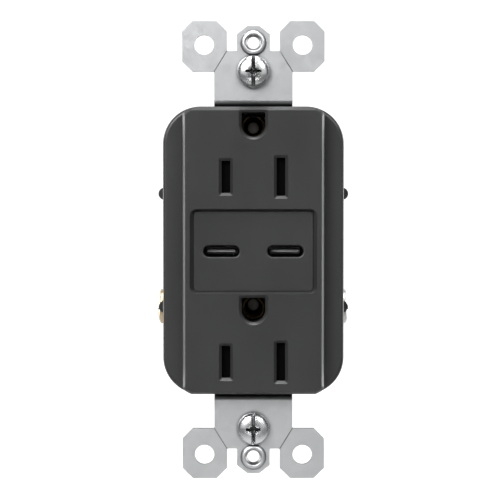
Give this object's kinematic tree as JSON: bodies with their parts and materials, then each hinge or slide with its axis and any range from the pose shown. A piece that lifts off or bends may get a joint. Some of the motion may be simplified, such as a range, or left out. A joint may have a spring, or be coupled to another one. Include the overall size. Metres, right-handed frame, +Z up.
{
  "type": "duplex wall outlet",
  "caption": "Rectangular wall outlet with two shuttered receptacles, a recessed USB-C panel between them, a steel mounting strap and side terminals.",
  "frame": {"origin": "middle of the wall plane, on the back of the mounting strap's ears", "axes": "+X to the right seen from the front, +Y into the wall, +Z up; the face looks along -Y"},
  "size_m": [0.0472, 0.0432, 0.1068],
  "materials": {
    "graphite_face": "fine satin texture, dark graphite",
    "black_plastic": "moulded, matte",
    "carrier_plastic": "heat-resistant moulding, black",
    "shutter_plastic": "low-friction moulding",
    "strap_steel": "galvanised sheet",
    "screw_steel": "zinc plated, bright",
    "spring_steel": "drawn wire",
    "contact_brass": "stamped strip, dull",
    "terminal_brass": "brass plated screw",
    "terminal_nickel": "nickel plated",
    "ground_green": "green dyed plating",
    "usb_nickel": "drawn shell, nickel plated",
    "tongue_plastic": "glass-filled moulding with contact strips, light grey",
    "circuit_board": "solder mask over glass laminate",
    "ferrite": "sintered ferrite",
    "winding_tape": "polyester winding tape",
    "capacitor_sleeve": "shrunk sleeve, aluminium top",
    "blue_coating": "dipped epoxy",
    "fuse_ceramic": "ceramic tube with metal caps",
    "chip_black": "moulded package",
    "vulcanised_fibre": "vulcanised fibre sheet",
    "wire_black": "PVC insulation",
    "wire_white": "PVC insulation"
  },
  "bodies": {
    "root": {"front_cover": "graphite_face", "usb_panel": "graphite_face", "mounting_strap": "strap_steel", "contact_carrier": "carrier_plastic", "rear_housing": "black_plastic", "insulation_sheet": "vulcanised_fibre", "usb_board": "circuit_board", "board_ribbon": "wire_white", "power_board": "circuit_board", "transformer_core": "ferrite", "transformer_winding": "winding_tape", "choke": "ferrite", "varistor": "blue_coating", "safety_capacitor": "blue_coating", "fuse": "fuse_ceramic", "bridge_rectifier": "chip_black", "power_controller": "chip_black", "usb_controller": "chip_black", "hot_bus": "contact_brass", "neutral_bus": "contact_brass", "hot_lead": "wire_black", "neutral_lead": "wire_white", "ground_contact_upper": "contact_brass", "ground_rivet_upper": "screw_steel", "shutter_retainer_upper": "black_plastic", "shutter_spring_upper": "spring_steel", "ground_contact_lower": "contact_brass", "ground_rivet_lower": "screw_steel", "shutter_retainer_lower": "black_plastic", "shutter_spring_lower": "spring_steel", "assembly_screw_upper_left": "screw_steel", "assembly_screw_upper_right": "screw_steel", "assembly_screw_lower_left": "screw_steel", "assembly_screw_lower_right": "screw_steel", "usb_shell_left": "usb_nickel", "usb_tongue_left": "tongue_plastic", "bulk_capacitor_left": "capacitor_sleeve", "output_capacitor_left": "capacitor_sleeve", "usb_shell_right": "usb_nickel", "usb_tongue_right": "tongue_plastic", "bulk_capacitor_right": "capacitor_sleeve", "output_capacitor_right": "capacitor_sleeve"},
    "shutter_upper": {"shutter_upper": "shutter_plastic"},
    "shutter_lower": {"shutter_lower": "shutter_plastic"},
    "hot_clamp": {"hot_clamp_plate": "terminal_nickel"},
    "hot_screw": {"hot_terminal_screw": "terminal_brass"},
    "neutral_clamp": {"neutral_clamp_plate": "terminal_nickel"},
    "neutral_screw": {"neutral_terminal_screw": "terminal_nickel"},
    "ground_clamp": {"ground_clamp_plate": "terminal_nickel"},
    "ground_screw": {"ground_terminal_screw": "ground_green"},
    "top_retainer": {"screw_retainer_top": "vulcanised_fibre"},
    "top_mounting_screw": {"mounting_screw_top": "screw_steel"},
    "bottom_retainer": {"screw_retainer_bottom": "vulcanised_fibre"},
    "bottom_mounting_screw": {"mounting_screw_bottom": "screw_steel"}
  },
  "joints": [
    {"name": "shutter_upper_slide", "type": "slide", "parent": "root", "child": "shutter_upper", "axis": [1, 0, 0], "range_m": [0, 0.003], "stiffness_N_per_m": 60, "springref_m": -0.0015, "deforming": ["shutter_spring_upper"]},
    {"name": "shutter_lower_slide", "type": "slide", "parent": "root", "child": "shutter_lower", "axis": [1, 0, 0], "range_m": [0, 0.003], "stiffness_N_per_m": 60, "springref_m": -0.0015, "deforming": ["shutter_spring_lower"]},
    {"name": "hot_clamp_lift", "type": "slide", "parent": "root", "child": "hot_clamp", "axis": [-1, 0, 0], "range_m": [0, 0.00159]},
    {"name": "hot_screw_turn", "type": "hinge", "parent": "hot_clamp", "child": "hot_screw", "pos_m": [-0.021, 0.0205, -0.0145], "axis": [-1, 0, 0], "range_deg": [0, 720]},
    {"name": "neutral_clamp_lift", "type": "slide", "parent": "root", "child": "neutral_clamp", "axis": [1, 0, 0], "range_m": [0, 0.00159]},
    {"name": "neutral_screw_turn", "type": "hinge", "parent": "neutral_clamp", "child": "neutral_screw", "pos_m": [0.021, 0.0205, -0.0145], "axis": [1, 0, 0], "range_deg": [0, 720]},
    {"name": "ground_clamp_lift", "type": "slide", "parent": "root", "child": "ground_clamp", "axis": [0, 0, 1], "range_m": [0, 0.00159]},
    {"name": "ground_screw_turn", "type": "hinge", "parent": "ground_clamp", "child": "ground_screw", "pos_m": [0.0136, 0.0205, 0.0312], "axis": [0, 0, 1], "range_deg": [0, 720]},
    {"name": "top_mounting_float", "type": "slide", "parent": "root", "child": "top_retainer", "axis": [0, -1, 0], "range_m": [0, 0.006]},
    {"name": "top_mounting_turn", "type": "hinge", "parent": "top_retainer", "child": "top_mounting_screw", "pos_m": [0, 0, 0.04167], "axis": [0, -1, 0], "continuous": true},
    {"name": "bottom_mounting_float", "type": "slide", "parent": "root", "child": "bottom_retainer", "axis": [0, -1, 0], "range_m": [0, 0.006]},
    {"name": "bottom_mounting_turn", "type": "hinge", "parent": "bottom_retainer", "child": "bottom_mounting_screw", "pos_m": [0, 0, -0.04167], "axis": [0, -1, 0], "continuous": true}
  ],
  "couplings": [
    {"joint": "hot_screw_turn", "follows": "hot_clamp_lift", "rad_per_m": 7915.8},
    {"joint": "neutral_screw_turn", "follows": "neutral_clamp_lift", "rad_per_m": 7915.8},
    {"joint": "ground_screw_turn", "follows": "ground_clamp_lift", "rad_per_m": 7915.8}
  ]
}
